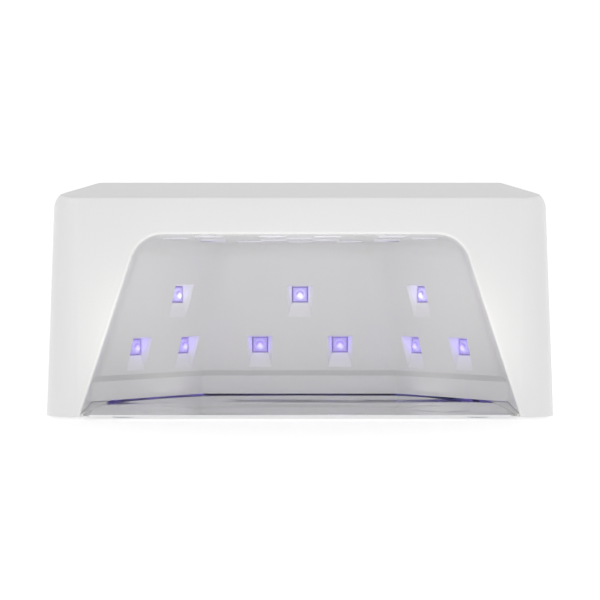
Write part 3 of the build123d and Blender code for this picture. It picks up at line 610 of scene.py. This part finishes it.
finishes["segment_lit"] = dull("segment_lit", (0.60, 0.64, 0.66), (0.68, 0.70, 0.72), 0.5, 0.0003, 0.00001,
                               Emission_Color=(0.72, 0.86, 1.0, 1.0), Emission_Strength=6.0)
bars = sorted(islands(nodes["display_segments"]), key=lambda spots: middle(spots).x)
lit_solids = []
unlit_solids = []
for i, figure in enumerate(" 60"):
    digit = bars[i * bars_per_digit:(i + 1) * bars_per_digit]
    centre = middle([middle(spots) for spots in digit])
    for spots in digit:
        place = bar_place(middle(spots) - centre, near=0.0006)
        dark = figure == " " or place in unlit_bars[figure]
        (unlit_solids if dark else lit_solids).append(spots)
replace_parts(make_bars("digits_lit", lit_solids, "segment_lit"), "display_segments")
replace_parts(make_bars("digits_unlit", unlit_solids, "segment_white"), "display_segments")
print("bars lit:", len(lit_solids), "unlit:", len(unlit_solids))

# %% [markdown]
# ## Print the times behind the buttons
# The four times are pad-printed on the roof, in grey ink a few hundredths of a millimetre thick.
# Each number stands behind its button, so a hand on the button doesn't hide it. The ink is a real
# thin layer here, and it belongs to the housing, not to the button that moves.

# %% Printed times
def print_time(button, gap, height, ink):
    """A number of seconds, printed on the roof behind a button."""
    low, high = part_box(button)
    words = bpy.data.curves.new("words", "FONT")
    words.body = button.replace("button_", "")
    words.size = height
    words.align_x = words.align_y = "CENTER"
    words.extrude = ink / 2
    pattern = bpy.data.objects.new("pattern", words)
    bpy.context.scene.collection.objects.link(pattern)
    data = bpy.data.meshes.new_from_object(pattern)
    bpy.data.objects.remove(pattern)
    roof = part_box("display_window")[1][2]
    spot = ((low[0] + high[0]) / 2, high[1] + gap, roof + ink / 2)
    data.transform(Matrix.Translation(spot))
    mesh = bmesh.new()
    mesh.from_mesh(data)
    bmesh.ops.remove_doubles(mesh, verts=mesh.verts, dist=1e-7)
    mesh.to_mesh(data)
    mesh.free()
    obj = bpy.data.objects.new(button.replace("button", "printed"), data)
    bpy.context.scene.collection.objects.link(obj)
    wear(obj, "ink_grey")
    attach(obj, "lamp")
    return obj


finishes["ink_grey"] = dull("ink_grey", (0.16, 0.16, 0.17), (0.20, 0.20, 0.21), 0.55, 0.0003, 0.000004)
for button in sorted(name for name in nodes if name.startswith("button_") and name.endswith("0s")) + ["button_99s"]:
    print(print_time(button, 0.0036, 0.0046, 0.00004).name, "printed")

# %% [markdown]
# ## Stage, light and camera
# The lamp stands on a sheet of white paper that curves up behind it, so there is no horizon. The
# paper is lit from below as well, as on a light table, which keeps it white under the lamp. One
# even sky does the rest. A small fill at the mouth does what the lamp's own light does in use.

# %% Paper sweep
def make_sweep(half_width, front, bend, radius, height):
    """Floor that bends up into a backdrop, drawn as one strip of quads."""
    line = [(front, 0.0), (bend, 0.0)]
    steps = 16
    for i in range(1, steps + 1):
        angle = pi / 2 * i / steps
        line.append((bend + radius * sin(angle), radius * (1 - cos(angle))))
    line.append((bend + radius, height))
    verts = [(side * half_width, y, z) for y, z in line for side in (-1, 1)]
    faces = [(2 * i, 2 * i + 1, 2 * i + 3, 2 * i + 2) for i in range(len(line) - 1)]
    mesh = bpy.data.meshes.new("paper_sweep")
    mesh.from_pydata(verts, [], faces)
    mesh.polygons.foreach_set("use_smooth", [True] * len(faces))
    sweep = bpy.data.objects.new("paper_sweep", mesh)
    bpy.context.scene.collection.objects.link(sweep)
    paper = Finish("paper", Roughness=0.9, Specular_IOR_Level=0.1, Emission_Strength=0.38)
    fibre = paper.noise(0.004, detail=4.0)
    tone = paper.between(fibre, (0.94, 0.94, 0.94), (0.96, 0.96, 0.96))
    paper.feed(Base_Color=tone, Emission_Color=tone)
    mesh.materials.append(paper.material)


make_sweep(half_width=4.0, front=-4.0, bend=1.0, radius=1.0, height=4.0)


# %% Sky
def make_sky(level, seen_level):
    """Even sky that lights at one level and is seen, past the paper's edge, as white as the paper."""
    world = bpy.data.worlds.new("studio")
    world.use_nodes = True
    nodes_of = world.node_tree.nodes
    lighting = nodes_of["Background"]
    lighting.inputs["Color"].default_value = (level, level, level, 1.0)
    seen = nodes_of.new("ShaderNodeBackground")
    seen.inputs["Color"].default_value = (seen_level, seen_level, seen_level, 1.0)
    rays = nodes_of.new("ShaderNodeLightPath")
    either = nodes_of.new("ShaderNodeMixShader")
    links = world.node_tree.links
    links.new(rays.outputs["Is Camera Ray"], either.inputs[0])
    links.new(lighting.outputs[0], either.inputs[1])
    links.new(seen.outputs[0], either.inputs[2])
    links.new(either.outputs[0], nodes_of["World Output"].inputs["Surface"])
    bpy.context.scene.world = world


make_sky(level=0.62, seen_level=1.0)


# %% Lights
def softbox(name, place, aim, size, power, colour=(1.0, 1.0, 1.0)):
    """Rectangular soft light that doesn't show itself, directly or in the mirror plate."""
    light = bpy.data.lights.new(name, "AREA")
    light.shape = "RECTANGLE"
    light.size, light.size_y = size
    light.energy = power
    light.color = colour
    obj = bpy.data.objects.new(name, light)
    obj.location = place
    obj.rotation_euler = (Vector(aim) - Vector(place)).to_track_quat("-Z", "Y").to_euler()
    obj.visible_camera = False
    obj.visible_glossy = False
    bpy.context.scene.collection.objects.link(obj)


for name, side in (("left_box", -1), ("right_box", 1)):
    softbox(name, (side * 1.6, -1.8, 0.15), (0, 0, 0.06), (1.2, 1.2), 4.5)
softbox("mouth_fill", (0, -0.115, 0.030), (0, 0.06, 0.085), (0.16, 0.04), 0.017, (1.0, 0.98, 0.90))
softbox("plate_bounce", (0, -0.02, 0.005), (0, -0.02, 0.1), (0.15, 0.10), 0.009, (1.0, 0.98, 0.90))


def emitter_light(name, foot, facing, power, colour):
    """Tiny light just in front of a lens, for the glow that it throws on its pocket."""
    light = bpy.data.lights.new(name, "POINT")
    light.shadow_soft_size = 0.001
    light.energy = power
    light.color = colour
    obj = bpy.data.objects.new(name, light)
    obj.location = foot + facing * 0.0032
    obj.visible_camera = False
    obj.visible_glossy = False
    bpy.context.scene.collection.objects.link(obj)


violet = (0.32, 0.24, 1.0)
lavender = (0.70, 0.66, 1.0)
for i, (foot, facing) in enumerate(wall_seats):
    power, colour = (0.00055, violet) if foot.z < row_split else (0.00034, lavender)
    emitter_light("wall_glow_%d" % i, foot, facing, power, colour)
for i, (foot, facing) in enumerate(ceiling_seats):
    emitter_light("ceiling_glow_%d" % i, foot, facing, 0.00016, lavender)

leaks = [(-0.06, 0.056), (-0.02, 0.056), (0.02, 0.056), (0.06, 0.056)]
leaks += [(side * 0.099, y) for side in (-1, 1) for y in (0.0, 0.025)]
for i, (x, y) in enumerate(leaks):
    emitter_light("leak_%d" % i, Vector((x, y, 0.010)), Vector(), 0.0050, violet)
print("lights:", len(bpy.data.lights))


# %% Camera
def make_camera(distance, height, lens):
    data = bpy.data.cameras.new("camera")
    data.lens = lens
    data.sensor_width = 36.0
    camera = bpy.data.objects.new("camera", data)
    camera.location = (0.0, cad_box[0][1] - distance, height)
    camera.rotation_euler = (radians(90), 0, 0)
    bpy.context.scene.collection.objects.link(camera)
    bpy.context.scene.camera = camera


make_camera(0.640, 0.0531, 86.5)
bpy.context.scene.view_settings.view_transform = "Standard"
